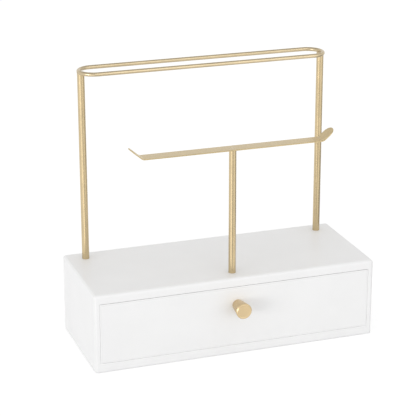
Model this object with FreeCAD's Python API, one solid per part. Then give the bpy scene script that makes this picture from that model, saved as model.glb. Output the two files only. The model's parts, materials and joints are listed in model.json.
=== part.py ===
import FreeCAD, Part
import math
import os

V = FreeCAD.Vector
X, Y, Z = V(1, 0, 0), V(0, 1, 0), V(0, 0, 1)

# All sizes are millimetres. The origin is the centre of the case's base.
# +X runs to the right along the front, +Y to the back, +Z up.

# Case outside
case_width = 320.0
case_depth = 130.0
case_height = 88.0
edge_round = 3.0
base_round = 1.0
opening_round = 0.3

# Case boards
top_board = 10.0
bottom_board = 10.0
side_board = 6.0
back_board = 5.0
back_rebate = 3.0
back_fit = 0.2

# Blind dowels between the flat boards and the side boards
dowel_diameter = 3.0
dowel_length = 16.0
dowel_end_inset = 25.0
dowel_count = 2
dowel_fit = 0.05
dowel_end_gap = 0.5

# Finishing brads of the back board and the drawer
brad_diameter = 1.4
brad_length = 15.0
brad_point = 1.5
brad_fit = 0.05
back_brad_inset = 24.0
back_brad_count = 3

# Round posts; their centres are inset from the case's edges
post_diameter = 8.0
post_rise = 212.0
post_end_inset = 21.75
post_back_inset = 18.5
post_chamfer = 0.5
socket_depth = 2.0
socket_fit = 0.1

# Closed top ring of round wire, laid in saddles in the post tops
wire_diameter = 4.5
ring_depth = 37.5
saddle_fit = 0.1

# Flat bar with turned-up ends, held by the centre post's riveted spigot
centre_post_front_inset = 18.0
bar_rise = 139.5
bar_length = 228.6
bar_width = 16.5
bar_thickness = 1.2
bar_bend_radius = 5.0
bar_bend_angle = 40.0
bar_wing = 15.2
bar_edge_bevel = 0.3
spigot_diameter = 4.0
spigot_fit = 0.05
rivet_diameter = 5.2
rivet_depth = 0.6

# Machine screws and washers
screw_diameter = 4.0
screw_head_diameter = 7.6
screw_head_height = 2.4
screw_head_side = 1.2
screw_crown_diameter = 5.6
screw_tip_chamfer = 0.5
post_screw_length = 12.0
knob_screw_length = 19.0
screw_hole_fit = 0.15
thread_fit = 0.05
recess_width = 0.9
recess_span = 4.2
recess_depth = 1.3
washer_diameter = 9.0
washer_thickness = 0.8
counterbore_fit = 0.5
counterbore_depth = 3.6
thread_end_gap = 1.0
drill_point_angle = 118.0

# Drawer front, flush with the case, and the gaps round it
front_board = 9.0
front_side_gap = 0.25
front_top_gap = 0.5
front_lower_gap = 0.25
front_edge_round = 0.4
front_lap = 4.0

# Drawer box
drawer_board = 6.0
drawer_headroom = 13.0
drawer_side_clearance = 1.0
drawer_floor_clearance = 0.2
drawer_rear_clearance = 0.3
drawer_top_round = 1.5
tray_board = 3.0
tray_rise = 4.0
groove_depth = 3.0
groove_fit = 0.15
groove_end_gap = 0.3
drawer_brad_inset = 12.0

# Turned knob
knob_base_diameter = 12.2
knob_face_diameter = 17.4
knob_length = 21.0
knob_drop = 20.5
knob_rim = 1.1
knob_land = 0.6

# Places worked out from the sizes above
half_width = case_width / 2
half_depth = case_depth / 2
inner_half = half_width - side_board
top_under = case_height - top_board
floor_top = bottom_board
back_inner = half_depth - back_board

post_radius = post_diameter / 2
post_x = half_width - post_end_inset
post_y = half_depth - post_back_inset
post_foot = case_height - socket_depth
post_top = case_height + post_rise
centre_post_y = -half_depth + centre_post_front_inset
bar_under = case_height + bar_rise

wire_radius = wire_diameter / 2
ring_bend = (ring_depth - wire_diameter) / 2
ring_straight = post_x + post_radius - wire_radius - ring_bend

bend_angle = math.radians(bar_bend_angle)
bend_outer = bar_bend_radius + bar_thickness
bend_run = bend_outer * math.sin(bend_angle)
bend_rise = bend_outer * (1 - math.cos(bend_angle))
bend_reach = bend_run + bar_wing * math.cos(bend_angle) - bar_edge_bevel * math.sin(bend_angle)
bend_x = bar_length / 2 - bend_reach

counterbore_floor = top_under + counterbore_depth
washer_under = counterbore_floor - washer_thickness

front_y = -half_depth
front_inner = front_y + front_board
front_half = inner_half - front_side_gap
front_low = floor_top + front_lower_gap
front_high = top_under - front_top_gap
lap_y = front_inner - front_lap

drawer_half = inner_half - drawer_side_clearance
drawer_inner_half = drawer_half - drawer_board
drawer_low = floor_top + drawer_floor_clearance
drawer_high = top_under - drawer_headroom
drawer_rear = back_inner - drawer_rear_clearance
drawer_back_inner = drawer_rear - drawer_board
tray_low = drawer_low + tray_rise

knob_z = front_high - knob_drop


def block(x_low, x_high, y_low, y_high, z_low, z_high):
    """Plain box between two corners."""
    return Part.makeBox(x_high - x_low, y_high - y_low, z_high - z_low, V(x_low, y_low, z_low))


def turned(profile):
    """Solid of revolution about +Z from (radius, height) points, starting and ending on the axis."""
    points = [V(radius, 0, height) for radius, height in profile]
    outline = Part.makePolygon(points + points[:1])
    return Part.Face(outline).revolve(V(0, 0, 0), Z, 360)


def placed(shape, origin, direction):
    """Copy of a shape made about +Z, with +Z turned to a direction and its origin moved."""
    copy = shape.copy()
    copy.Placement = FreeCAD.Placement(origin, FreeCAD.Rotation(Z, direction))
    return copy


def edges_where(shape, test):
    """Edges whose bounding box passes a test."""
    return [edge for edge in shape.Edges if test(edge.BoundBox)]


def spread(low, high, count):
    """Evenly spaced values from low to high."""
    return [low + (high - low) * index / (count - 1) for index in range(count)]


def brad(origin, direction):
    """Headless nail whose blunt end is at the origin."""
    radius = brad_diameter / 2
    profile = [(0, 0), (radius, 0), (radius, brad_length - brad_point), (0, brad_length)]
    return placed(turned(profile), origin, direction)


def brad_bore(origin, direction):
    """Hole that clears a brad."""
    return Part.makeCylinder(brad_diameter / 2 + brad_fit, brad_length + brad_fit, origin, direction)


def case_form():
    """All case boards in one: soft outer edges, and the drawer's space with a softened mouth."""
    form = block(-half_width, half_width, -half_depth, half_depth, 0, case_height)
    upright = edges_where(form, lambda box: box.ZLength > case_height / 2)
    upper = edges_where(form, lambda box: box.ZMin > case_height / 2)
    form = form.makeFillet(edge_round, upright + upper)
    lower = edges_where(form, lambda box: box.ZMax < base_round / 2)
    form = form.makeFillet(base_round, lower)
    form = form.cut(block(-inner_half, inner_half, -case_depth, case_depth, floor_top, top_under))
    reach = inner_half + opening_round
    mouth = edges_where(
        form, lambda box: box.YMax < opening_round - half_depth and box.XMin > -reach and box.XMax < reach
    )
    return form.makeFillet(opening_round, mouth)


def dowel_places():
    """Centres of the dowels, on the joints between the flat boards and the side boards."""
    reach = half_depth - dowel_end_inset
    return [
        V(side * (half_width - side_board / 2), y, z)
        for side in (-1, 1)
        for z in (floor_top, top_under)
        for y in spread(-reach, reach, dowel_count)
    ]


def dowel(centre):
    """Dowel centred on a joint."""
    return Part.makeCylinder(dowel_diameter / 2, dowel_length, centre - Z * (dowel_length / 2))


def dowel_bores():
    """Blind holes for every dowel."""
    depth = dowel_length / 2 + dowel_end_gap
    radius = dowel_diameter / 2 + dowel_fit
    return [Part.makeCylinder(radius, 2 * depth, place - Z * depth) for place in dowel_places()]


def back_brad_places():
    """Where brads enter the back board, along its upper and lower rebates."""
    reach = inner_half - back_brad_inset
    levels = (floor_top - back_rebate / 2, top_under + back_rebate / 2)
    return [V(x, half_depth, z) for z in levels for x in spread(-reach, reach, back_brad_count)]


def back_space(fit):
    """Space of the back board in the rebates of the flat boards, smaller by a fit all round."""
    reach = inner_half - fit
    low = floor_top - back_rebate + fit
    high = top_under + back_rebate - fit
    return block(-reach, reach, back_inner, half_depth, low, high)


def case_joinery():
    """Everything that the case boards are cut for where they join."""
    brads = [brad_bore(place, -Y) for place in back_brad_places()]
    return dowel_bores() + brads


def post_places():
    """Centres of the three posts on the case."""
    return [V(-post_x, post_y, 0), V(post_x, post_y, 0), V(0, centre_post_y, 0)]


def top_panel(form):
    """Top board with post sockets above and counterbores for the post screws below."""
    panel = form.common(block(-case_width, case_width, -case_depth, case_depth, top_under, case_height))
    cuts = case_joinery() + [back_space(0)]
    for place in post_places():
        socket = Part.makeCylinder(post_radius + socket_fit, case_height, place + Z * post_foot)
        hole = Part.makeCylinder(screw_diameter / 2 + screw_hole_fit, case_height, place)
        pocket_radius = washer_diameter / 2 + counterbore_fit
        pocket = Part.makeCylinder(pocket_radius, counterbore_depth, place + Z * top_under)
        cuts += [socket, hole, pocket]
    return panel.cut(cuts)


def bottom_panel(form):
    """Bottom board that the drawer slides on."""
    panel = form.common(block(-case_width, case_width, -case_depth, case_depth, 0, floor_top))
    return panel.cut(case_joinery() + [back_space(0)])


def side_panel(form, side):
    """Side board between the flat boards, on the left for side -1 and on the right for 1."""
    low, high = sorted((side * inner_half, side * case_width))
    panel = form.common(block(low, high, -case_depth, case_depth, floor_top, top_under))
    return panel.cut(case_joinery())


def back_panel():
    """Back board with its brad holes, a little smaller than its rebates."""
    return back_space(back_fit).cut([brad_bore(place, -Y) for place in back_brad_places()])


def cross_recess(top):
    """Cross-shaped drive recess that opens at a height on the axis."""
    bottom = top - recess_depth
    half_span = recess_span / 2
    half_slot = recess_width / 2
    slot = block(-half_span, half_span, -half_slot, half_slot, bottom, top + recess_depth)
    crossing = block(-half_slot, half_slot, -half_span, half_span, bottom, top + recess_depth)
    return slot.fuse(crossing)


def pan_screw(length):
    """Pan-head screw: shank up +Z from the head's seat at the origin, head below the origin."""
    shank = screw_diameter / 2
    head = screw_head_diameter / 2
    profile = [
        (0, -screw_head_height),
        (screw_crown_diameter / 2, -screw_head_height),
        (head, -screw_head_side),
        (head, 0),
        (shank, 0),
        (shank, length - screw_tip_chamfer),
        (shank - screw_tip_chamfer, length),
        (0, length),
    ]
    recess = cross_recess(0).mirror(V(0, 0, 0), Z)
    recess.translate(V(0, 0, -screw_head_height))
    return turned(profile).cut(recess)


def washer():
    """Flat washer on the origin."""
    hole = screw_diameter / 2 + screw_hole_fit
    return Part.makeCylinder(washer_diameter / 2, washer_thickness).cut(
        Part.makeCylinder(hole, washer_thickness)
    )


def tapped_bore(depth):
    """Blind threaded hole up +Z from the origin, with a drill point."""
    radius = screw_diameter / 2 + thread_fit
    point = radius / math.tan(math.radians(drill_point_angle / 2))
    return Part.makeCylinder(radius, depth).fuse(Part.makeCone(radius, 0, point, V(0, 0, depth)))


def post_bar(top):
    """Plain round bar from the post sockets to a height, chamfered at both ends."""
    rim = post_radius - post_chamfer
    profile = [
        (0, post_foot),
        (rim, post_foot),
        (post_radius, post_foot + post_chamfer),
        (post_radius, top - post_chamfer),
        (rim, top),
        (0, top),
    ]
    screw_reach = washer_under + post_screw_length - post_foot
    bore = tapped_bore(screw_reach + thread_end_gap)
    bore.translate(Z * post_foot)
    return turned(profile).cut(bore)


def ring_tube(radius):
    """Closed level loop of round wire: two straight rails joined by half-circle ends."""
    parts = []
    for side in (-1, 1):
        start = V(side * ring_straight, post_y - ring_bend, post_top)
        disc = Part.Face(Part.Wire(Part.makeCircle(radius, start, X)))
        parts.append(disc.revolve(V(side * ring_straight, post_y, post_top), Z, side * 180))
        rail = Part.Face(Part.Wire(Part.makeCircle(radius, V(-ring_straight, start.y, post_top), X)))
        if side > 0:
            rail.translate(Y * (2 * ring_bend))
        parts.append(rail.extrude(X * (2 * ring_straight)))
    return parts[0].fuse(parts[1:]).removeSplitter()


def ring_post(side):
    """Back post with a saddle across its top for the ring's end."""
    post = post_bar(post_top)
    post.translate(V(side * post_x, post_y, 0))
    return post.cut(ring_tube(wire_radius + saddle_fit))


def centre_post():
    """Front post with a shoulder under the bar, and a spigot that is riveted flush with its top."""
    spigot = spigot_diameter / 2
    bar_top = bar_under + bar_thickness
    profile = [
        (0, bar_under - bar_thickness),
        (spigot, bar_under - bar_thickness),
        (spigot, bar_top - rivet_depth),
        (rivet_diameter / 2, bar_top),
        (0, bar_top),
    ]
    post = post_bar(bar_under).fuse(turned(profile))
    post.translate(V(0, centre_post_y, 0))
    return post


def bar_section(x):
    """Cross-section of the flat bar across X, with bevelled corners."""
    half_bar = bar_width / 2
    flat = half_bar - bar_edge_bevel
    high = bar_thickness - bar_edge_bevel
    rim = [(flat, 0), (half_bar, bar_edge_bevel), (half_bar, high), (flat, bar_thickness)]
    outline = rim + [(-y, z) for y, z in reversed(rim)]
    return Part.Face(Part.makePolygon([V(x, y, z) for y, z in outline + outline[:1]]))


def bar_end():
    """Bend and turned-up end of the flat bar beyond +X, with a round tip."""
    tip_x = bar_wing - bar_width / 2
    half_section = bar_section(tip_x).common(block(0, bar_length, 0, bar_width, 0, bar_thickness))
    tip = half_section.revolve(V(tip_x, 0, 0), Z, -180)
    wing = bar_section(0).extrude(X * tip_x).fuse(tip)
    lift = V(bend_x + bend_run, 0, bend_rise)
    wing.Placement = FreeCAD.Placement(lift, FreeCAD.Rotation(Y, -bar_bend_angle))
    bend = bar_section(bend_x).revolve(V(bend_x, 0, bend_outer), Y, -bar_bend_angle)
    return bend.fuse(wing)


def accessory_bar():
    """Whole flat bar, bent up at both ends, with a countersunk hole for the centre post's spigot."""
    end = bar_end()
    run = bar_section(-bend_x).extrude(X * (2 * bend_x))
    bar = run.fuse([end, end.mirror(V(0, 0, 0), X)]).removeSplitter()
    hole = spigot_diameter / 2 + spigot_fit
    sink_floor = V(0, 0, bar_thickness - rivet_depth)
    sink = Part.makeCone(hole, rivet_diameter / 2 + spigot_fit, rivet_depth, sink_floor)
    bar = bar.cut([Part.makeCylinder(hole, bar_thickness), sink])
    bar.translate(V(0, centre_post_y, bar_under))
    return bar


def tray_form():
    """Drawer bottom board, let into grooves on all four sides."""
    reach = groove_depth - groove_end_gap
    return block(
        -drawer_inner_half - reach,
        drawer_inner_half + reach,
        front_inner - reach,
        drawer_back_inner + reach,
        tray_low,
        tray_low + tray_board,
    )


def tray_groove():
    """Space that is cut from the drawer's boards for its bottom board."""
    return block(
        -drawer_inner_half - groove_depth,
        drawer_inner_half + groove_depth,
        front_inner - groove_depth,
        drawer_back_inner + groove_depth,
        tray_low,
        tray_low + tray_board + groove_fit,
    )


def drawer_brad_places():
    """Where brads enter the drawer's sides, with their directions."""
    levels = spread(tray_low + tray_board + drawer_brad_inset, drawer_high - drawer_brad_inset, 2)
    rows = (lap_y + front_lap / 2, drawer_rear - drawer_board / 2)
    return [
        (V(side * drawer_half, y, z), X * -side)
        for side in (-1, 1)
        for y in rows
        for z in levels
    ]


def drawer_brad_bores():
    """Holes for the drawer's brads."""
    return [brad_bore(place, direction) for place, direction in drawer_brad_places()]


def drawer_front():
    """Drawer front with soft front edges, laps for the sides, a groove and the knob's hole."""
    front = block(-front_half, front_half, front_y, front_inner, front_low, front_high)
    outline = edges_where(front, lambda box: box.YMax < front_y + front_edge_round)
    front = front.makeFillet(front_edge_round, outline)
    cuts = [tray_groove()] + drawer_brad_bores()
    for side in (-1, 1):
        low, high = sorted((side * drawer_inner_half, side * half_width))
        cuts.append(block(low, high, lap_y, half_depth, 0, case_height))
    hole_radius = screw_diameter / 2 + screw_hole_fit
    cuts.append(Part.makeCylinder(hole_radius, case_depth, V(0, -case_depth, knob_z), Y))
    return front.cut(cuts)


def round_top(board):
    """Drawer board with its two long upper edges rounded."""
    middle = (drawer_low + drawer_high) / 2
    rims = edges_where(board, lambda box: box.ZMin > middle and box.DiagonalLength > 2 * drawer_board)
    return board.makeFillet(drawer_top_round, rims)


def drawer_side(side):
    """Drawer side with a rounded upper edge and a groove along its length."""
    low, high = sorted((side * drawer_inner_half, side * drawer_half))
    board = round_top(block(low, high, lap_y, drawer_rear, drawer_low, drawer_high))
    groove_low, groove_high = sorted((0, side * (drawer_inner_half + groove_depth)))
    groove_top = tray_low + tray_board + groove_fit
    groove = block(groove_low, groove_high, -case_depth, case_depth, tray_low, groove_top)
    return board.cut([groove] + drawer_brad_bores())


def drawer_back():
    """Drawer back between the sides."""
    reach = drawer_inner_half
    board = block(-reach, reach, drawer_back_inner, drawer_rear, drawer_low, drawer_high)
    return round_top(board).cut([tray_groove()] + drawer_brad_bores())


def knob():
    """Turned knob that widens to a flat face with a chamfered rim, its base on the drawer front."""
    face = knob_face_diameter / 2
    rim_start = knob_length - knob_rim
    profile = [
        (0, 0),
        (knob_base_diameter / 2, 0),
        (face, rim_start - knob_land),
        (face, rim_start),
        (face - knob_rim, knob_length),
        (0, knob_length),
    ]
    screw_reach = knob_screw_length - washer_thickness - front_board
    body = turned(profile).cut(tapped_bore(screw_reach + thread_end_gap))
    return placed(body, V(0, front_y, knob_z), -Y)


def post_screws():
    """One screw up through the top board into each post."""
    return [placed(pan_screw(post_screw_length), place + Z * washer_under, Z) for place in post_places()]


def post_washers():
    """One washer under each post screw's head."""
    return [placed(washer(), place + Z * washer_under, Z) for place in post_places()]


def knob_screw():
    """Screw from inside the drawer through its front into the knob."""
    return placed(pan_screw(knob_screw_length), V(0, front_inner + washer_thickness, knob_z), -Y)


def knob_washer():
    """Washer between the knob screw's head and the drawer front."""
    return placed(washer(), V(0, front_inner + washer_thickness, knob_z), -Y)


def organizer():
    """Every piece by its node's name, groups of like fasteners as one compound."""
    form = case_form()
    return {
        "top_panel": top_panel(form),
        "bottom_panel": bottom_panel(form),
        "left_side_panel": side_panel(form, -1),
        "right_side_panel": side_panel(form, 1),
        "back_panel": back_panel(),
        "case_dowels": Part.makeCompound([dowel(place) for place in dowel_places()]),
        "back_brads": Part.makeCompound([brad(place, -Y) for place in back_brad_places()]),
        "left_post": ring_post(-1),
        "right_post": ring_post(1),
        "top_ring": ring_tube(wire_radius),
        "centre_post": centre_post(),
        "accessory_bar": accessory_bar(),
        "post_screws": Part.makeCompound(post_screws()),
        "post_washers": Part.makeCompound(post_washers()),
        "drawer_front": drawer_front(),
        "drawer_left_side": drawer_side(-1),
        "drawer_right_side": drawer_side(1),
        "drawer_back": drawer_back(),
        "drawer_bottom": tray_form(),
        "drawer_brads": Part.makeCompound([brad(place, way) for place, way in drawer_brad_places()]),
        "knob": knob(),
        "knob_screw": knob_screw(),
        "knob_washer": knob_washer(),
    }


os.makedirs("parts", exist_ok=True)
for node, shape in organizer().items():
    shape.exportStep("parts/" + node + ".step")
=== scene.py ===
"""Looks of a hair accessory organizer: a low white case with one drawer, under a gold ring and bar.

Lengths are metres in the part's own frame. The origin is the centre of the case's base, +X runs to the
right along the drawer front, +Y to the back and +Z up.
"""

import json
import logging
import math
from dataclasses import dataclass
from enum import Enum
from typing import Callable, Union

import bmesh
import bpy
from mathutils import Matrix, Vector

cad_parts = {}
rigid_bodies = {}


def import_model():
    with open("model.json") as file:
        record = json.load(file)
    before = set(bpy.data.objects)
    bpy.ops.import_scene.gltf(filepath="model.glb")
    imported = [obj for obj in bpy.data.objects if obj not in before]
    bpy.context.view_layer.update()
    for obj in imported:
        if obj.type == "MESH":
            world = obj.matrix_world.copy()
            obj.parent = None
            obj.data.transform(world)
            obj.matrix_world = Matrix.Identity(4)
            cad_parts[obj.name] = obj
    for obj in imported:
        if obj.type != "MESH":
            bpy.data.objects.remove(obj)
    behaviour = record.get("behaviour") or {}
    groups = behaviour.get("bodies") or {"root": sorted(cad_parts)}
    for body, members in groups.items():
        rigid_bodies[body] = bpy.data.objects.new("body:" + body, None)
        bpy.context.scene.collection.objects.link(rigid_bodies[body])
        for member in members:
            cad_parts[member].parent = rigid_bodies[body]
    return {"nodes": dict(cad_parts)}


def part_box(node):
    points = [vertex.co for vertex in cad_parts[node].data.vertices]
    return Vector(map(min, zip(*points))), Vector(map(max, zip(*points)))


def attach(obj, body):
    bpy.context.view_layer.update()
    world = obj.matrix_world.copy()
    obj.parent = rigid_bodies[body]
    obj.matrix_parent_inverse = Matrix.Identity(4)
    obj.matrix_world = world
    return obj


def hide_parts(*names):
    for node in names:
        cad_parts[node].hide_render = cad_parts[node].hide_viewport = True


for leftover in list(bpy.data.objects):
    bpy.data.objects.remove(leftover)
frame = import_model()

LOG = logging.getLogger("organizer")
MM = 0.001
WHITE = (1.0, 1.0, 1.0)
X, Y, Z = Vector((1, 0, 0)), Vector((0, 1, 0)), Vector((0, 0, 1))
# Edges that bend by more than this stay sharp.
SHARP_BEND = math.radians(32)
# Steps round each eased corner of an outline, and points round a tube.
CORNER_STEPS = 4
TUBE_SIDES = 10
# Numbers of finer layers in a noise, the value it varies about, and the span in which it forms patches.
COARSE, MEDIUM, FINE = 1.0, 2.0, 3.0
MEAN = 0.5
PATCHES = (0.3, 0.7)
# Sockets of a colour Mix node, whose names are shared with its other kinds.
MIX_SHARE, MIX_FIRST, MIX_SECOND, MIX_RESULT = 0, 6, 7, 2

Color = tuple[float, float, float]
Outline = list[tuple[float, float]]
Ring = list[Vector]
Socket = bpy.types.NodeSocket
Number = Union[float, "Value"]


class Body(Enum):
    """Bodies of the part that pieces ride on."""

    CASE = "case"
    DRAWER = "drawer"


class Slot(Enum):
    """Material slots of the part's record."""

    PAINT = "case_paint"
    WOOD = "dowel_wood"
    GOLD = "gold_metal"
    STEEL = "steel"


class Grain(Enum):
    """Which way the fine lines of a metal piece run."""

    ALONG_X = "along x"
    ALONG_Z = "along z"
    TURNED = "round the knob's axis"


@dataclass(frozen=True)
class Box:
    """Upright box round pieces at rest.

    Attributes:
        low: Its lowest corner.
        high: Its highest corner.
    """

    low: Vector
    high: Vector

    @classmethod
    def of(cls, *nodes: str) -> "Box":
        """Box round several CAD nodes.

        Args:
            nodes: Names of CAD nodes.

        Returns:
            The smallest box that holds them all.
        """
        corners = [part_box(node) for node in nodes]
        low = Vector(min(corner[0][axis] for corner in corners) for axis in range(3))
        high = Vector(max(corner[1][axis] for corner in corners) for axis in range(3))
        return cls(low, high)

    @property
    def centre(self) -> Vector:
        """Middle of the box."""
        return (self.low + self.high) / 2

    @property
    def size(self) -> Vector:
        """Side lengths of the box."""
        return self.high - self.low


def linear(color: Color) -> tuple[float, float, float, float]:
    """Scene-linear colour with full alpha.

    Args:
        color: Red, green and blue as a screen shows them, 0 to 1.

    Returns:
        The same colour as a shader socket takes it.
    """
    toe, slope, offset, power = 0.04045, 12.92, 0.055, 2.4
    channels = [
        part / slope if part <= toe else ((part + offset) / (1 + offset)) ** power
        for part in color
    ]
    return (*channels, 1.0)


def shade(color: Color, factor: float) -> Color:
    """Colour made darker or lighter by a factor."""
    return tuple(min(1.0, part * factor) for part in color)


class Value:
    """A number that varies over a surface: an output socket that takes part in arithmetic."""

    def __init__(self, graph: "Graph", socket: Socket) -> None:
        """Wraps an output socket of a graph."""
        self.graph = graph
        self.socket = socket

    def __add__(self, other: Number) -> "Value":
        """Sum."""
        return self.graph.math("ADD", self, other)

    def __sub__(self, other: Number) -> "Value":
        """Difference."""
        return self.graph.math("SUBTRACT", self, other)

    def __rsub__(self, other: Number) -> "Value":
        """Difference from a number."""
        return self.graph.math("SUBTRACT", other, self)

    def __mul__(self, other: Number) -> "Value":
        """Product."""
        return self.graph.math("MULTIPLY", self, other)

    def __pow__(self, other: Number) -> "Value":
        """Power."""
        return self.graph.math("POWER", self, other)

    __radd__ = __add__
    __rmul__ = __mul__


class Graph:
    """Shader nodes of one material or of the world."""

    def __init__(self, tree: bpy.types.NodeTree) -> None:
        """Starts on an emptied node tree."""
        tree.nodes.clear()
        self.tree = tree

    def node(
        self, kind: str, settings: dict | None = None, sockets: dict | None = None
    ) -> bpy.types.Node:
        """Adds one node.

        Args:
            kind: Node type, as Blender names it.
            settings: Properties of the node, set first.
            sockets: Value or link of each input, by name or index.

        Returns:
            The new node.
        """
        made = self.tree.nodes.new(kind)
        for key, setting in (settings or {}).items():
            setattr(made, key, setting)
        for key, source in (sockets or {}).items():
            if isinstance(source, Value):
                source = source.socket
            if isinstance(source, Socket):
                self.tree.links.new(source, made.inputs[key])
            else:
                made.inputs[key].default_value = source
        return made

    def math(self, operation: str, *terms: Number) -> Value:
        """Result of one Math node on numbers and values."""
        made = self.node("ShaderNodeMath", {"operation": operation}, dict(enumerate(terms)))
        return Value(self, made.outputs[0])

    def place(self) -> Socket:
        """Position in the piece's own space, in metres."""
        return self.node("ShaderNodeTexCoord").outputs["Object"]

    def stretched(self, place: Socket, factors: tuple[float, float, float]) -> Socket:
        """Position multiplied by a factor along each axis."""
        made = self.node("ShaderNodeVectorMath", {"operation": "MULTIPLY"}, {0: place, 1: factors})
        return made.outputs[0]

    def axes(self, place: Socket) -> list[Value]:
        """The x, y and z of a position."""
        made = self.node("ShaderNodeSeparateXYZ", None, {0: place})
        return [Value(self, output) for output in made.outputs]

    def noise(self, place: Socket, size: float, detail: float = MEDIUM) -> Value:
        """Soft noise from 0 to 1 about its mean.

        Args:
            place: Position that the noise is a function of.
            size: Rough distance between its lumps.
            detail: Number of finer layers.

        Returns:
            The noise.
        """
        sockets = {"Vector": place, "Scale": 1 / size, "Detail": detail}
        return Value(self, self.node("ShaderNodeTexNoise", None, sockets).outputs[0])

    def specks(self, place: Socket, spacing: float, radius: float, share: float) -> Value:
        """Round specks scattered over a surface, 1 at their middles and 0 between them.

        Args:
            place: Position that the specks are a function of.
            spacing: Rough distance between neighbouring cells.
            radius: Radius of the largest speck.
            share: Share of the cells that hold a speck.

        Returns:
            The height of the specks.
        """
        made = self.node("ShaderNodeTexVoronoi", None, {"Vector": place, "Scale": 1 / spacing})
        distance = Value(self, made.outputs["Distance"]) * spacing
        luck = self.axes(made.outputs["Color"])[0]
        held = self.smooth(luck, 1 - share, 1.0)
        return held * (1 - self.smooth(distance, 0.0, radius))

    def smooth(self, value: Number, low: float, high: float) -> Value:
        """Smooth step over a span of a value.

        Args:
            value: The value.
            low: Where the step starts.
            high: Where it ends.

        Returns:
            0 below the span, 1 above it, and an S-shaped rise between.
        """
        settings = {"interpolation_type": "SMOOTHSTEP"}
        sockets = {"Value": value, "From Min": low, "From Max": high}
        return Value(self, self.node("ShaderNodeMapRange", settings, sockets).outputs[0])

    def near_edge(self, place: Socket, box: Box, width: float) -> Value:
        """How close a surface point is to an edge of a box.

        Args:
            place: Position of the point.
            box: The box.
            width: Distance from the edge at which the result has faded out.

        Returns:
            1 at an edge, and 0 from the width on.
        """
        inward = [
            self.math("MINIMUM", value - box.low[axis], box.high[axis] - value)
            for axis, value in enumerate(self.axes(place))
        ]
        first, second, third = [self.math("ABSOLUTE", depth) for depth in inward]
        lower = self.math("MINIMUM", first, second)
        upper = self.math("MAXIMUM", first, second)
        middle = self.math("MINIMUM", upper, self.math("MAXIMUM", lower, third))
        deepest_out = self.math("MINIMUM", self.math("MINIMUM", inward[0], inward[1]), inward[2])
        return (1 - self.smooth(middle, 0.0, width)) * self.smooth(deepest_out, -width, -width / 2)

    def mix(self, share: Value, first: Color, second: Color) -> Socket:
        """Colour between two colours.

        Args:
            share: How much of the second colour there is.
            first: Colour where share is 0.
            second: Colour where share is 1.

        Returns:
            The mixed colour.
        """
        sockets = {MIX_SHARE: share, MIX_FIRST: linear(first), MIX_SECOND: linear(second)}
        return self.node("ShaderNodeMix", {"data_type": "RGBA"}, sockets).outputs[MIX_RESULT]

    def relief(self, height: Value) -> Socket:
        """Normal of a surface raised by a height in metres."""
        return self.node("ShaderNodeBump", None, {"Distance": 1.0, "Height": height}).outputs[0]

    def white(self, kind: str, strength: float) -> Socket:
        """Shader of a white Emission or Background node."""
        return self.node(kind, None, {"Color": linear(WHITE), "Strength": strength}).outputs[0]

    def matt(self, color: tuple[float, float, float, float]) -> Socket:
        """Shader of a plain diffuse surface."""
        return self.node("ShaderNodeBsdfDiffuse", None, {"Color": color}).outputs[0]

    def seen_as(self, lit: Socket, shown: Socket) -> Socket:
        """Shader that lights the object as one shader does and is seen as another.

        Args:
            lit: Shader for the rays that carry light.
            shown: Shader for the rays that show a thing, straight or by reflection.

        Returns:
            The mixed shader.
        """
        path = self.node("ShaderNodeLightPath").outputs
        straight, glossy, through = [
            Value(self, path[f"Is {kind} Ray"]) for kind in ("Camera", "Glossy", "Transmission")
        ]
        seen = self.math("MAXIMUM", straight, self.math("MAXIMUM", glossy, through))
        return self.node("ShaderNodeMixShader", None, {0: seen, 1: lit, 2: shown}).outputs[0]


def node_material(name: str, surface: Callable[[Graph], Socket]) -> bpy.types.Material:
    """Material made of shader nodes.

    Args:
        name: Name of the material.
        surface: Makes the nodes and returns the surface's shader.

    Returns:
        The material.
    """
    material = bpy.data.materials.new(name)
    material.use_nodes = True
    graph = Graph(material.node_tree)
    graph.node("ShaderNodeOutputMaterial", None, {"Surface": surface(graph)})
    return material


def finish_material(name: str, sockets: Callable[[Graph], dict]) -> bpy.types.Material:
    """Material with one principled surface.

    Args:
        name: Name of the material.
        sockets: Makes the nodes and returns the surface's sockets.

    Returns:
        The material.
    """
    def surface(graph: Graph) -> Socket:
        """The principled shader."""
        return graph.node("ShaderNodeBsdfPrincipled", None, sockets(graph)).outputs[0]

    return node_material(name, surface)


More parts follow.
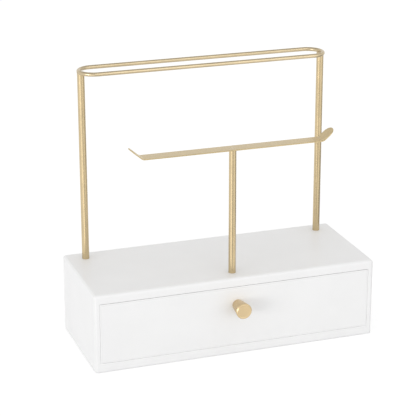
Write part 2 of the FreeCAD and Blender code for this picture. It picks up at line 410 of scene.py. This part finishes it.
@dataclass(frozen=True)
class Lacquer:
    """Satin paint sprayed on fibreboard, with orange peel, soft sags, a few dust nibs, a painted shade
    along its edges and a painted highlight along a rim.

    Attributes:
        name: Name of the finish.
        color: Colour of the paint.
        roughness: Mean roughness.
        coat: Weight of the clear coat.
        coat_roughness: Roughness of that coat.
        ior: Index of refraction.
        peel_size: Distance between the lumps of the orange peel.
        peel_height: Height of the orange peel.
        peel_gloss: Swing of the roughness over the peel.
        sag_size: Distance between the soft sags.
        sag_height: Height of the sags.
        mist_size: Size of the patches where the spray lies thicker or thinner.
        mist_share: Swing of the tone over those patches.
        mist_gloss: Swing of the roughness over them.
        nib_spacing: Distance between the cells that may hold a dust nib.
        nib_share: Share of the cells that hold one.
        nib_radius: Radius of a nib.
        nib_height: Height of a nib.
        edge_width: Width of the smoother paint and of the painted shade along the edges.
        edge_gloss: Roughness that the paint loses there.
        edge_flat: Share of the orange peel that it loses there.
        rim_highlight_width: Width of the painted highlight along a rim.
        rim_highlight_gain: Lightness of the painted highlight against the colour.
        edge_shade_gain: Lightness of the painted shade at the edges against the colour.
        plain_share: Where the colour away from edges and rims lies between the painted shade and the
            painted highlight, 0 to 1.
    """

    name: str
    color: Color = (0.942, 0.942, 0.942)
    roughness: float = 0.5
    coat: float = 0.15
    coat_roughness: float = 0.1
    ior: float = 1.48
    peel_size: float = 1.6 * MM
    peel_height: float = 0.005 * MM
    peel_gloss: float = 0.05
    sag_size: float = 22 * MM
    sag_height: float = 0.02 * MM
    mist_size: float = 55 * MM
    mist_share: float = 0.1
    mist_gloss: float = 0.12
    nib_spacing: float = 24 * MM
    nib_share: float = 0.3
    nib_radius: float = 0.35 * MM
    nib_height: float = 0.02 * MM
    edge_width: float = 2.4 * MM
    edge_gloss: float = 0.06
    edge_flat: float = 0.7
    rim_highlight_width: float = 1.1 * MM
    rim_highlight_gain: float = 1.057
    edge_shade_gain: float = 0.965
    plain_share: float = 0.38

    def sockets(self, graph: Graph, box: Box, rim: Box | None) -> dict:
        """Nodes of the paint.

        Args:
            graph: Graph to add to.
            box: Box whose edges have smoother paint and a painted shade.
            rim: Box whose edges carry a painted highlight.

        Returns:
            Sockets of the surface.
        """
        place = graph.place()
        # The edge mask smooths the paint near the box's edges and also darkens the colour there as a
        # painted shade.
        edge = graph.near_edge(place, box, self.edge_width)
        mist = graph.noise(place, self.mist_size, FINE)
        peel = graph.noise(place, self.peel_size)
        sag = graph.noise(place, self.sag_size, COARSE)
        nibs = graph.specks(place, self.nib_spacing, self.nib_radius, self.nib_share)
        # The rim mask is a painted highlight along the rim's edges.
        bead = graph.near_edge(place, rim, self.rim_highlight_width) if rim else 0.0
        cloud = (graph.smooth(mist, *PATCHES) - MEAN) * self.mist_share
        # The tone sits at the plain colour with random mist, falls to the painted shade at the edges and
        # rises to the painted highlight on the rim.
        tone = (cloud + (1 - edge) * self.plain_share) * (1 - bead) + bead
        swing = (mist - MEAN) * self.mist_gloss + (peel - MEAN) * self.peel_gloss
        flatness = 1 - edge * self.edge_flat
        height = peel * flatness * self.peel_height + sag * self.sag_height + nibs * self.nib_height
        # The darker colour is the painted edge shade, and the lighter one is the painted rim highlight.
        edge_shaded, full = shade(self.color, self.edge_shade_gain), shade(self.color, self.rim_highlight_gain)
        return {
            "Base Color": graph.mix(tone, edge_shaded, full),
            "Roughness": self.roughness + swing - edge * self.edge_gloss,
            "Normal": graph.relief(height),
            "Coat Weight": self.coat,
            "Coat Roughness": self.coat_roughness,
            "IOR": self.ior,
        }

    def material(self, box: Box, rim: Box | None = None) -> bpy.types.Material:
        """Paint for boards inside a box, shaded at its edges, with a painted highlight along a rim if
        there is one.
        """
        return finish_material(self.name, lambda graph: self.sockets(graph, box, rim))


@dataclass(frozen=True)
class SatinGold:
    """Pale satin gold plating over a brushed or turned surface.

    Attributes:
        name: Name of the finish.
        grain: Which way the fine lines run.
        color: Colour of the metal.
        roughness: Mean roughness.
        coat: Weight of the clear coat.
        coat_roughness: Roughness of that coat.
        line_pitch: Distance between the fine lines.
        line_length: Length of a line.
        line_height: Height of the lines.
        line_tone: Swing of the tone over the lines.
        line_gloss: Swing of the roughness over them.
        cloud_size: Size of the soft patches in the plating.
        cloud_tone: Swing of the tone over the patches.
        cloud_gloss: Swing of the roughness over them.
        pit_spacing: Distance between the cells that may hold a pit.
        pit_share: Share of the cells that hold one.
        pit_radius: Radius of a pit.
        pit_depth: Depth of a pit.
        pit_gloss: Roughness that a pit adds.
        dark_gain: Lightness of the darkest plating against the colour.
        light_gain: Lightness of the lightest plating against the colour.
        least_tone: Tone where patches and lines add nothing.
    """

    name: str
    grain: Grain
    color: Color = (0.795, 0.715, 0.56)
    roughness: float = 0.33
    coat: float = 0.5
    coat_roughness: float = 0.35
    line_pitch: float = 0.12 * MM
    line_length: float = 9 * MM
    line_height: float = 0.0022 * MM
    line_tone: float = 0.5
    line_gloss: float = 0.12
    cloud_size: float = 18 * MM
    cloud_tone: float = 0.7
    cloud_gloss: float = 0.1
    pit_spacing: float = 2.5 * MM
    pit_share: float = 0.25
    pit_radius: float = 0.12 * MM
    pit_depth: float = 0.004 * MM
    pit_gloss: float = 0.1
    dark_gain: float = 0.975
    light_gain: float = 1.02
    least_tone: float = 0.1

    def lines(self, graph: Graph, place: Socket, axis: Vector) -> Value:
        """Fine lines left by brushing or turning.

        Args:
            graph: Graph to add to.
            place: Position on the piece.
            axis: A point on the axis of a turned piece.

        Returns:
            The lines as noise about its mean.
        """
        across, along = 1 / self.line_pitch, 1 / self.line_length
        if self.grain is Grain.TURNED:
            x, y, z = graph.axes(place)
            radius = graph.math("SQRT", (x - axis.x) ** 2.0 + (z - axis.z) ** 2.0)
            sockets = {"W": (radius + y) * across, "Scale": 1.0, "Detail": MEDIUM}
            made = graph.node("ShaderNodeTexNoise", {"noise_dimensions": "1D"}, sockets)
            return Value(graph, made.outputs[0])
        factors = {Grain.ALONG_X: (along, across, across), Grain.ALONG_Z: (across, across, along)}
        return graph.noise(graph.stretched(place, factors[self.grain]), 1.0)

    def sockets(self, graph: Graph, axis: Vector) -> dict:
        """Nodes of the gold.

        Args:
            graph: Graph to add to.
            axis: A point on the axis of a turned piece.

        Returns:
            Sockets of the surface.
        """
        place = graph.place()
        lines = self.lines(graph, place, axis)
        cloud = graph.noise(place, self.cloud_size, FINE)
        pits = graph.specks(place, self.pit_spacing, self.pit_radius, self.pit_share)
        patches = graph.smooth(cloud, *PATCHES) * self.cloud_tone
        tone = patches + (lines - MEAN) * self.line_tone + self.least_tone
        swing = (cloud - MEAN) * self.cloud_gloss + (lines - MEAN) * self.line_gloss
        dark, light = shade(self.color, self.dark_gain), shade(self.color, self.light_gain)
        return {
            "Base Color": graph.mix(tone, dark, light),
            "Metallic": 1.0,
            "Roughness": self.roughness + swing + pits * self.pit_gloss,
            "Coat Weight": self.coat,
            "Coat Roughness": self.coat_roughness,
            "Normal": graph.relief(lines * self.line_height - pits * self.pit_depth),
        }

    def material(self, axis: Vector = Vector()) -> bpy.types.Material:
        """Gold for one piece, turned about the axis through a point if its grain says so."""
        return finish_material(self.name, lambda graph: self.sockets(graph, axis))


@dataclass(frozen=True)
class BrightZinc:
    """Zinc plating of the screws, washers and brads.

    Attributes:
        name: Name of the finish.
        color: Colour of the metal.
        roughness: Mean roughness.
        grain_size: Size of the plating's grain.
        grain_height: Height of the grain.
        grain_gloss: Swing of the roughness over the grain.
        stain_size: Size of the duller stains.
        stain_gain: Lightness of a stain against the colour.
        stain_gloss: Swing of the roughness over the stains.
    """

    name: str = "bright_zinc"
    color: Color = (0.74, 0.75, 0.77)
    roughness: float = 0.34
    grain_size: float = 0.35 * MM
    grain_height: float = 0.003 * MM
    grain_gloss: float = 0.1
    stain_size: float = 4 * MM
    stain_gain: float = 0.86
    stain_gloss: float = 0.25

    def sockets(self, graph: Graph) -> dict:
        """Nodes of the zinc.

        Args:
            graph: Graph to add to.

        Returns:
            Sockets of the surface.
        """
        place = graph.place()
        grain = graph.noise(place, self.grain_size, FINE)
        stain = graph.noise(place, self.stain_size)
        swing = (stain - MEAN) * self.stain_gloss + (grain - MEAN) * self.grain_gloss
        dull = shade(self.color, self.stain_gain)
        return {
            "Base Color": graph.mix(graph.smooth(stain, *PATCHES), self.color, dull),
            "Metallic": 1.0,
            "Roughness": self.roughness + swing,
            "Normal": graph.relief(grain * self.grain_height),
        }

    def material(self) -> bpy.types.Material:
        """Zinc for any small steel piece."""
        return finish_material(self.name, self.sockets)


@dataclass(frozen=True)
class BareBeech:
    """Unfinished beech of the dowels, with pores along Z.

    Attributes:
        name: Name of the finish.
        color: Colour of the pale wood.
        roughness: Mean roughness.
        fibre_width: Width of a fibre.
        fibre_length: Length of a fibre.
        fibre_height: Height of the fibres.
        fibre_span: Span of the noise in which fibres darken.
        fibre_tone: Share of the tone that the fibres give.
        fibre_gloss: Swing of the roughness over the fibres.
        ring_width: Width of a growth ring.
        ring_stretch: How much slower the rings change along Z.
        ring_span: Span of the noise in which rings darken.
        ring_tone: Share of the tone that the rings give.
        dark_gain: Lightness of the darkest wood against the colour.
    """

    name: str = "bare_beech"
    color: Color = (0.80, 0.66, 0.48)
    roughness: float = 0.7
    fibre_width: float = 0.25 * MM
    fibre_length: float = 5 * MM
    fibre_height: float = 0.02 * MM
    fibre_span: tuple[float, float] = (0.35, 0.65)
    fibre_tone: float = 0.6
    fibre_gloss: float = 0.2
    ring_width: float = 1.4 * MM
    ring_stretch: float = 0.1
    ring_span: tuple[float, float] = (0.4, 0.6)
    ring_tone: float = 0.4
    dark_gain: float = 0.84

    def sockets(self, graph: Graph) -> dict:
        """Nodes of the wood.

        Args:
            graph: Graph to add to.

        Returns:
            Sockets of the surface.
        """
        place = graph.place()
        across, along = 1 / self.fibre_width, 1 / self.fibre_length
        fibre = graph.noise(graph.stretched(place, (across, across, along)), 1.0, FINE)
        rings = graph.noise(graph.stretched(place, (1, 1, self.ring_stretch)), self.ring_width, COARSE)
        pores = graph.smooth(fibre, *self.fibre_span) * self.fibre_tone
        tone = pores + graph.smooth(rings, *self.ring_span) * self.ring_tone
        return {
            "Base Color": graph.mix(tone, self.color, shade(self.color, self.dark_gain)),
            "Roughness": self.roughness + (fibre - MEAN) * self.fibre_gloss,
            "Normal": graph.relief(fibre * self.fibre_height),
        }

    def material(self) -> bpy.types.Material:
        """Beech with its grain along Z."""
        return finish_material(self.name, self.sockets)


def dress(obj: bpy.types.Object, material: bpy.types.Material, slot: Slot) -> bpy.types.Object:
    """Gives a piece its finish.

    Args:
        obj: Piece to dress.
        material: Its material.
        slot: The record's material slot; not used.

    Returns:
        The piece.
    """
    if not obj.material_slots:
        obj.data.materials.append(None)
    for place in obj.material_slots:
        place.material = material
    return obj


def add_piece(obj: bpy.types.Object, body: Body, material: bpy.types.Material, slot: Slot) -> None:
    """Dresses a new piece and makes it ride on a body.

    Args:
        obj: New piece.
        body: Body that it moves with.
        material: Its material.
        slot: The record's material slot.
    """
    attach(dress(obj, material, slot), body.value)
    LOG.info("added %s in %s", obj.name, material.name)


def dress_nodes(nodes: list[str], material: bpy.types.Material, slot: Slot) -> None:
    """Gives several CAD nodes the same finish.

    Args:
        nodes: Names of the nodes.
        material: Their material.
        slot: The record's material slot.
    """
    for node in nodes:
        dress(frame["nodes"][node], material, slot)
        LOG.info("dressed %s in %s", node, material.name)


def put_in_scene(name: str, data: bpy.types.ID) -> bpy.types.Object:
    """New object with the given mesh, camera or lamp, linked to the scene.

    Args:
        name: Name of the object.
        data: Its mesh, camera or lamp.

    Returns:
        The object.
    """
    obj = bpy.data.objects.new(name, data)
    bpy.context.scene.collection.objects.link(obj)
    return obj


def loft(name: str, rings: list[Ring], looped: bool = False) -> bpy.types.Object:
    """Smooth mesh through rings of equally many points.

    Args:
        name: Name of the piece.
        rings: Rings in order, all wound the same way.
        looped: Whether the last ring joins the first. If not, both ends are closed with a face.

    Returns:
        The new object, linked to the scene.
    """
    mesh = bpy.data.meshes.new(name)
    work = bmesh.new()
    rows = [[work.verts.new(point) for point in ring] for ring in rings]
    pairs = list(zip(rows, rows[1:]))
    if looped:
        pairs.append((rows[-1], rows[0]))
    for lower, upper in pairs:
        for index in range(len(lower)):
            after = (index + 1) % len(lower)
            work.faces.new((lower[index], lower[after], upper[after], upper[index]))
    if not looped:
        work.faces.new(rows[0])
        work.faces.new(rows[-1])
    bmesh.ops.recalc_face_normals(work, faces=work.faces)
    work.to_mesh(mesh)
    work.free()
    mesh.shade_smooth()
    mesh.set_sharp_from_angle(angle=SHARP_BEND)
    return put_in_scene(name, mesh)


def circle(centre: Vector, right: Vector, up: Vector, radius: float, count: int) -> Ring:
    """Evenly spaced points round a circle.

    Args:
        centre: Middle of the circle.
        right: Unit vector in its plane.
        up: Unit vector in its plane, square to right.
        radius: Its radius.
        count: Number of points.

    Returns:
        The points.
    """
    turns = [2 * math.pi * index / count for index in range(count)]
    return [centre + (right * math.cos(turn) + up * math.sin(turn)) * radius for turn in turns]


def rounded(corners: Outline, radii: list[float]) -> Outline:
    """Open outline with its inner corners rounded.

    Args:
        corners: Points of the outline.
        radii: Radius at each inner corner, 0 for a sharp one.

    Returns:
        Points of the rounded outline.
    """
    points = [corners[0]]
    for before, corner, after, radius in zip(corners, corners[1:], corners[2:], radii):
        if radius == 0:
            points.append(corner)
            continue
        here = Vector(corner)
        back, ahead = (Vector(before) - here).normalized(), (Vector(after) - here).normalized()
        half = back.angle(ahead) / 2
        middle = here + (back + ahead).normalized() * (radius / math.sin(half))
        start = here + back * (radius / math.tan(half)) - middle
        end = here + ahead * (radius / math.tan(half)) - middle
        for step in range(CORNER_STEPS + 1):
            spoke = start.lerp(end, step / CORNER_STEPS).normalized() * radius
            points.append(tuple(middle + spoke))
    points.append(corners[-1])
    return points


def tube(name: str, path: list[Vector], radius: float) -> bpy.types.Object:
    """Closed tube along a looped path.

    Args:
        name: Name of the piece.
        path: Points of the loop.
        radius: Radius of the tube.

    Returns:
        The new object.
    """
    rings = []
    right = None
    for index, point in enumerate(path):
        ahead = (path[(index + 1) % len(path)] - path[index - 1]).normalized()
        right = ahead.orthogonal() if right is None else right - ahead * right.dot(ahead)
        right.normalize()
        rings.append(circle(point, right, ahead.cross(right), radius, TUBE_SIDES))
    return loft(name, rings, looped=True)


@dataclass
class CaseShell:
    """Fixed boards of the case and the dowels in them.

    Attributes:
        outer: Paint of the top, bottom and side boards.
        back: Paint of the back board.
        wood: Finish of the dowels.
    """

    outer: Lacquer = Lacquer("case_lacquer")
    back: Lacquer = Lacquer("back_lacquer", peel_height=0.007 * MM)
    wood: BareBeech = BareBeech()

    def build(self) -> None:
        """Dresses the boards and the dowels."""
        boards = ["top_panel", "bottom_panel", "left_side_panel", "right_side_panel"]
        # The case paint darkens towards the boards' outer edges as a painted shade and lightens round the
        # drawer opening as a painted highlight; the back board's paint carries the same painted shade on
        # its edges.
        dress_nodes(boards, self.outer.material(Box.of(*boards), Box.of("drawer_front")), Slot.PAINT)
        dress_nodes(["back_panel"], self.back.material(Box.of("back_panel")), Slot.PAINT)
        dress_nodes(["case_dowels"], self.wood.material(), Slot.WOOD)


@dataclass
class DrawerBox:
    """Boards of the drawer.

    Attributes:
        front: Paint of the drawer front.
        inner: Paint of the sides and the back.
        floor: Paint of the bottom board.
    """

    front: Lacquer = Lacquer("drawer_front_lacquer")
    inner: Lacquer = Lacquer("drawer_side_lacquer", peel_height=0.007 * MM)
    floor: Lacquer = Lacquer("drawer_floor_lacquer", roughness=0.55, peel_height=0.008 * MM)

    def build(self) -> None:
        """Dresses the drawer's boards."""
        face = Box.of("drawer_front")
        # The drawer front's paint carries a painted shade and a painted highlight along its own edges;
        # the other drawer boards carry the painted shade on their edges.
        dress_nodes(["drawer_front"], self.front.material(face, face), Slot.PAINT)
        sides = ["drawer_left_side", "drawer_right_side", "drawer_back"]
        dress_nodes(sides, self.inner.material(Box.of(*sides)), Slot.PAINT)
        dress_nodes(["drawer_bottom"], self.floor.material(Box.of("drawer_bottom")), Slot.PAINT)


@dataclass
class Knob:
    """Turned knob, remade with eased edges, a groove behind its land and a lip round its face.

    Attributes:
        finish: Its plating, a lighter copy of the gold that paints a highlight over the knob.
        base: Radius where it stands on the drawer front.
        rim: Width of the rounded rim at the face.
        land: Width of the straight band behind the rim.
        groove: Depth of the groove behind the land.
        lip: Width of the lip round the face.
        dish: Depth of the face below the lip.
        ease: Radius of the eased edges.
        bore: Radius of the screw's hole.
        bore_depth: Depth of that hole.
        count: Number of points round the knob.
    """

    # The knob's gold is lighter than the other pieces' gold: a painted highlight over the whole knob.
    finish: SatinGold = SatinGold(
        "turned_gold_painted_light", Grain.TURNED, color=(0.825, 0.735, 0.575), roughness=0.42, coat=0.25,
        line_pitch=0.2 * MM, line_height=0.003 * MM,
    )
    base: float = 6.1 * MM
    rim: float = 1.1 * MM
    land: float = 0.6 * MM
    groove: float = 0.35 * MM
    lip: float = 0.45 * MM
    dish: float = 0.25 * MM
    ease: float = 0.18 * MM
    bore: float = 2.05 * MM
    bore_depth: float = 10.2 * MM
    count: int = 96

    def outline(self, face: float, length: float) -> Outline:
        """Outline of the knob from the end of its hole round to its face.

        Args:
            face: Largest radius.
            length: Length of the knob.

        Returns:
            Pairs of radius and distance from the drawer front.
        """
        rim_start = length - self.rim
        land_start = rim_start - self.land
        neck_end = land_start - 2 * self.groove
        neck = self.base + (face - self.base) * neck_end / land_start
        groove_floor = neck - self.groove
        lip_out = face - self.rim
        lip_in = lip_out - self.lip
        floor = lip_in - 2 * self.dish
        groove_ease, rim_ease, lip_ease = self.groove / 4, self.rim / 3, self.ease / 2
        corners = [
            (self.bore, self.bore_depth), (self.bore, 0), (self.base, 0), (neck, neck_end),
            (groove_floor, neck_end + self.groove), (groove_floor, land_start - self.groove / 2),
            (face, land_start), (face, rim_start), (lip_out, length), (lip_in, length),
            (floor, length - self.dish), (floor / 2, length - self.dish),
        ]
        eased = [
            0, self.ease, self.ease, groove_ease, 0, groove_ease, rim_ease, rim_ease, lip_ease, self.ease,
        ]
        return rounded(corners, eased)

    def build(self) -> None:
        """Makes the knob in place of the CAD one."""
        box = Box.of("knob")
        foot = Vector((box.centre.x, box.high.y, box.centre.z))
        outline = self.outline(box.size.x / 2, box.size.y)
        rings = [circle(foot - Y * reach, X, Z, radius, self.count) for radius, reach in outline]
        knob = loft("turned_knob", rings)
        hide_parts("knob")
        add_piece(knob, Body.DRAWER, self.finish.material(box.centre), Slot.GOLD)


@dataclass
class GoldFrame:
    """Posts, ring and bar, with the fine braze that joins them.

    Attributes:
        upright: Plating of the posts.
        loop: Plating of the ring.
        flat: Plating of the bar.
        post: Radius of a post.
        wire: Radius of the ring's wire.
        braze: Radius of the bead round a saddle.
        saddle_steps: Steps of the bead along each side of a saddle.
        inner_steps: Steps of the bead across the saddle's inner end.
        collar: Width of the fillet under the bar.
        collar_sink: How far the fillet reaches into the post.
        collar_steps: Steps of the fillet's hollow.
        collar_count: Number of sections round the post.
    """

    upright: SatinGold = SatinGold("post_gold", Grain.ALONG_Z, roughness=0.25, line_height=0.0006 * MM)
    loop: SatinGold = SatinGold("ring_gold", Grain.ALONG_X, color=(0.78, 0.712, 0.58))
    flat: SatinGold = SatinGold("bar_gold", Grain.ALONG_X, color=(0.79, 0.71, 0.535))
    post: float = 4.0 * MM
    wire: float = 2.25 * MM
    braze: float = 0.3 * MM
    saddle_steps: int = 16
    inner_steps: int = 6
    collar: float = 0.6 * MM
    collar_sink: float = 0.1 * MM
    collar_steps: int = 5
    collar_count: int = 64

    def saddle_path(self, post: Box, ring: Box, side: int) -> list[Vector]:
        """Loop along the meeting of a post's top and the ring's wire.

        Args:
            post: Box of the post.
            ring: Box of the ring.
            side: 1 for the right post and -1 for the left one.

        Returns:
            Points of the loop.
        """
        end = ring.high.x if side > 0 else -ring.low.x
        wire_x, top = end - self.wire, ring.centre.z
        post_x = abs(post.centre.x)
        front: list[Vector] = []
        back: list[Vector] = []
        for step in range(self.saddle_steps):
            turn = math.pi * step / self.saddle_steps
            x = wire_x - self.wire * math.cos(turn)
            reach = math.sqrt(max(0.0, self.post ** 2 - (x - post_x) ** 2))
            z = top - self.wire * math.sin(turn)
            front.append(Vector((side * x, post.centre.y - reach, z)))
            back.append(Vector((side * x, post.centre.y + reach, z)))
        outer = Vector((side * (wire_x + self.wire), post.centre.y, top))
        shares = [step / self.inner_steps for step in range(1, self.inner_steps)]
        across = [back[0].lerp(front[0], share) for share in shares]
        return front + [outer] + back[::-1] + across

    def collar_rings(self, post: Box, bar: Box) -> list[Ring]:
        """Hollow fillet between the centre post and the bar's underside.

        Args:
            post: Box of the centre post.
            bar: Box of the bar.

        Returns:
            Its cross-sections round the post.
        """
        inner = self.post - self.collar_sink
        quarter = math.pi / 2
        bends = [quarter * step / self.collar_steps for step in range(self.collar_steps + 1)]
        hollow = [
            (self.post + self.collar * (1 - math.cos(bend)), -self.collar * (1 - math.sin(bend)))
            for bend in bends
        ]
        section = [(inner, -self.collar)] + hollow + [(inner, 0.0)]
        middle = Vector((post.centre.x, post.centre.y, bar.low.z))
        spokes = circle(Vector(), X, Y, 1.0, self.collar_count)
        return [[middle + spoke * radius + Z * rise for radius, rise in section] for spoke in spokes]

    def build(self) -> None:
        """Dresses the gold frame and adds the braze."""
        post_gold, ring_gold = self.upright.material(), self.loop.material()
        dress_nodes(["left_post", "right_post", "centre_post"], post_gold, Slot.GOLD)
        dress_nodes(["top_ring"], ring_gold, Slot.GOLD)
        dress_nodes(["accessory_bar"], self.flat.material(), Slot.GOLD)
        ring = Box.of("top_ring")
        for name, side in (("left", -1), ("right", 1)):
            path = self.saddle_path(Box.of(f"{name}_post"), ring, side)
            add_piece(tube(f"{name}_braze", path, self.braze), Body.CASE, ring_gold, Slot.GOLD)
        rings = self.collar_rings(Box.of("centre_post"), Box.of("accessory_bar"))
        add_piece(loft("bar_braze", rings, looped=True), Body.CASE, post_gold, Slot.GOLD)


@dataclass
class Fasteners:
    """Steel screws, washers and brads.

    Attributes:
        finish: Their plating.
    """

    finish: BrightZinc = BrightZinc()

    def build(self) -> None:
        """Dresses the fasteners."""
        nodes = ["back_brads", "drawer_brads", "post_screws", "post_washers", "knob_screw", "knob_washer"]
        dress_nodes(nodes, self.finish.material(), Slot.STEEL)


@dataclass(frozen=True)
class Stand:
    """Where a camera or lamp stands, as seen from the point that it faces.

    Attributes:
        azimuth: Degrees round from the front, towards +X.
        elevation: Degrees above the horizon.
        distance: Distance from the point.
    """

    azimuth: float
    elevation: float
    distance: float

    def put(self, name: str, data: bpy.types.ID, aim: tuple[float, float, float]) -> bpy.types.Object:
        """Puts a camera or lamp on the stand.

        Args:
            name: Name of the object.
            data: Its camera or lamp.
            aim: Point that it faces.

        Returns:
            The object.
        """
        turn, rise = math.radians(self.azimuth), math.radians(self.elevation)
        level = math.cos(rise)
        back = Vector((math.sin(turn) * level, -math.cos(turn) * level, math.sin(rise)))
        obj = put_in_scene(name, data)
        obj.location = Vector(aim) + back * self.distance
        obj.rotation_mode = "QUATERNION"
        obj.rotation_quaternion = (-back).to_track_quat("-Z", "Y")
        return obj


@dataclass
class PhotoCamera:
    """Camera at the photograph's place.

    Attributes:
        stand: Where it stands.
        aim: Point that it faces.
        lens: Focal length in millimetres.
        sensor: Width of the sensor in millimetres.
    """

    stand: Stand = Stand(azimuth=-19.41, elevation=19.30, distance=1.7208)
    aim: tuple[float, float, float] = (-0.01105, 0.0, 0.14723)
    lens: float = 136.08
    sensor: float = 36.0

    def build(self) -> None:
        """Makes the camera and looks through it."""
        data = bpy.data.cameras.new("photo_camera")
        data.lens = self.lens
        data.sensor_width = self.sensor
        bpy.context.scene.camera = self.stand.put("photo_camera", data, self.aim)
        LOG.info("camera %.0f mm at %.2f m", self.lens, self.stand.distance)


@dataclass(frozen=True)
class Softbox:
    """Large flat lamp that faces the object.

    Attributes:
        name: Name of the lamp.
        stand: Where it stands.
        width: Width of the lamp.
        height: Height of the lamp.
        power: Power in watts.
    """

    name: str
    stand: Stand
    width: float
    height: float
    power: float

    def build(self, aim: tuple[float, float, float]) -> None:
        """Makes the lamp.

        Args:
            aim: Point that it faces.
        """
        data = bpy.data.lights.new(self.name, "AREA")
        data.shape = "RECTANGLE"
        data.size = self.width
        data.size_y = self.height
        data.energy = self.power
        self.stand.put(self.name, data, aim).visible_camera = False


def level_sheet(
    name: str, low: tuple[float, float], high: tuple[float, float], surface: Callable[[Graph], Socket]
) -> bpy.types.Object:
    """Level rectangle that stands for a card or the floor.

    Args:
        name: Name of the sheet and of its material.
        low: Its lowest x and y.
        high: Its highest x and y.
        surface: Makes the nodes and returns the surface's shader.

    Returns:
        The sheet, at the origin.
    """
    mesh = bpy.data.meshes.new(name)
    corners = [(low[0], low[1], 0), (high[0], low[1], 0), (high[0], high[1], 0), (low[0], high[1], 0)]
    mesh.from_pydata(corners, [], [(0, 1, 2, 3)])
    mesh.materials.append(node_material(name, surface))
    return put_in_scene(name, mesh)


@dataclass(frozen=True)
class Card:
    """Level card that only reflections show: a dark one shapes round metal, a bright one lines it.

    Attributes:
        name: Name of the card.
        azimuth: Degrees round from the front to the side on which the card lies.
        start: Distance of its nearer edge from the object's middle.
        length: Length from that edge outwards.
        width: Width across.
        level: How bright it looks, where 1 is white.
        lift: Height above the ground.
    """

    name: str
    azimuth: float
    start: float
    length: float
    width: float
    level: float
    lift: float = 0.2 * MM

    def build(self) -> None:
        """Makes the card."""
        half = self.width / 2
        card = level_sheet(
            self.name, (-half, 0), (half, self.length),
            lambda graph: graph.white("ShaderNodeEmission", self.level),
        )
        turn = Matrix.Rotation(math.radians(180 + self.azimuth), 4, "Z")
        card.matrix_world = turn @ Matrix.Translation((0, self.start, self.lift))
        for ray in ("camera", "diffuse", "transmission", "volume_scatter", "shadow"):
            setattr(card, f"visible_{ray}", False)


@dataclass
class Studio:
    """White sweep, even room light and soft lamps.

    Attributes:
        room_light: Strength of the room's light.
        floor_reach: Half of the floor's width.
        floor_color: Colour by which the floor bounces light.
        floor_share: Light that the floor returns where it is seen, from 0 to 1.
        floor_glow: Light of its own that it shows there.
        floor_gap: How far the floor lies under the object.
        aim: Point that the lamps face.
        cards: Cards that only reflections show.
        lamps: Soft lamps.
    """

    room_light: float = 0.85
    floor_reach: float = 6.0
    floor_color: Color = (0.87, 0.87, 0.87)
    floor_share: float = 0.75
    floor_glow: float = 0.38
    floor_gap: float = 0.05 * MM
    aim: tuple[float, float, float] = (0.0, 0.0, 0.12)
    cards: tuple[Card, ...] = (
        Card("bright_card", azimuth=-50.0, start=0.25, length=1.2, width=0.10, level=2.3),
        Card("front_card", azimuth=-4.0, start=0.3, length=1.3, width=0.24, level=0.62),
        Card("right_card", azimuth=90.0, start=0.3, length=1.4, width=0.6, level=0.5),
        Card("light_card", azimuth=32.0, start=0.2, length=1.2, width=0.3, level=1.22),
        Card("high_card", azimuth=18.0, start=0.75, length=2.0, width=1.8, level=1.8, lift=1.5),
        Card("ceiling_card", azimuth=160.6, start=-0.6, length=2.1, width=2.6, level=0.6, lift=1.5),
    )
    lamps: tuple[Softbox, ...] = (
        Softbox("key_softbox", Stand(-58.0, 5.0, 2.8), width=1.1, height=0.7, power=20.5),
        Softbox("right_softbox", Stand(24.0, 10.0, 2.8), width=2.6, height=1.2, power=10.1),
    )

    def build(self) -> None:
        """Sets up the light, the world and the floor."""
        bpy.context.scene.view_settings.view_transform = "Standard"
        for lamp in self.lamps:
            lamp.build(self.aim)
        for card in self.cards:
            card.build()
        self.build_world()
        self.build_floor()
        LOG.info("studio with %d lamps", len(self.lamps))

    def build_world(self) -> None:
        """Room that lights evenly and is seen as plain white."""
        world = bpy.data.worlds.new("white_room")
        world.use_nodes = True
        graph = Graph(world.node_tree)
        lit = graph.white("ShaderNodeBackground", self.room_light)
        shown = graph.white("ShaderNodeBackground", 1.0)
        graph.node("ShaderNodeOutputWorld", None, {"Surface": graph.seen_as(lit, shown)})
        bpy.context.scene.world = world

    def floor_surface(self, graph: Graph) -> Socket:
        """Nodes of the floor: plain paper for light, and near white with a faint shadow to the eye.

        Args:
            graph: Graph to add to.

        Returns:
            The floor's shader.
        """
        plain = graph.matt(linear(self.floor_color))
        faint = graph.matt((self.floor_share, self.floor_share, self.floor_share, 1.0))
        glow = graph.white("ShaderNodeEmission", self.floor_glow)
        shown = graph.node("ShaderNodeAddShader", None, {0: faint, 1: glow}).outputs[0]
        return graph.seen_as(plain, shown)

    def build_floor(self) -> None:
        """White floor that bounces light and shows the object's faint shadow."""
        reach = self.floor_reach
        floor = level_sheet("floor", (-reach, -reach), (reach, reach), self.floor_surface)
        floor.location.z = -self.floor_gap


def main() -> None:
    """Builds the looks in order."""
    logging.basicConfig(level=logging.INFO, format="%(message)s")
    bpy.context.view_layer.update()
    CaseShell().build()
    DrawerBox().build()
    Knob().build()
    GoldFrame().build()
    Fasteners().build()
    Studio().build()
    PhotoCamera().build()


if __name__ == "__main__":
    main()
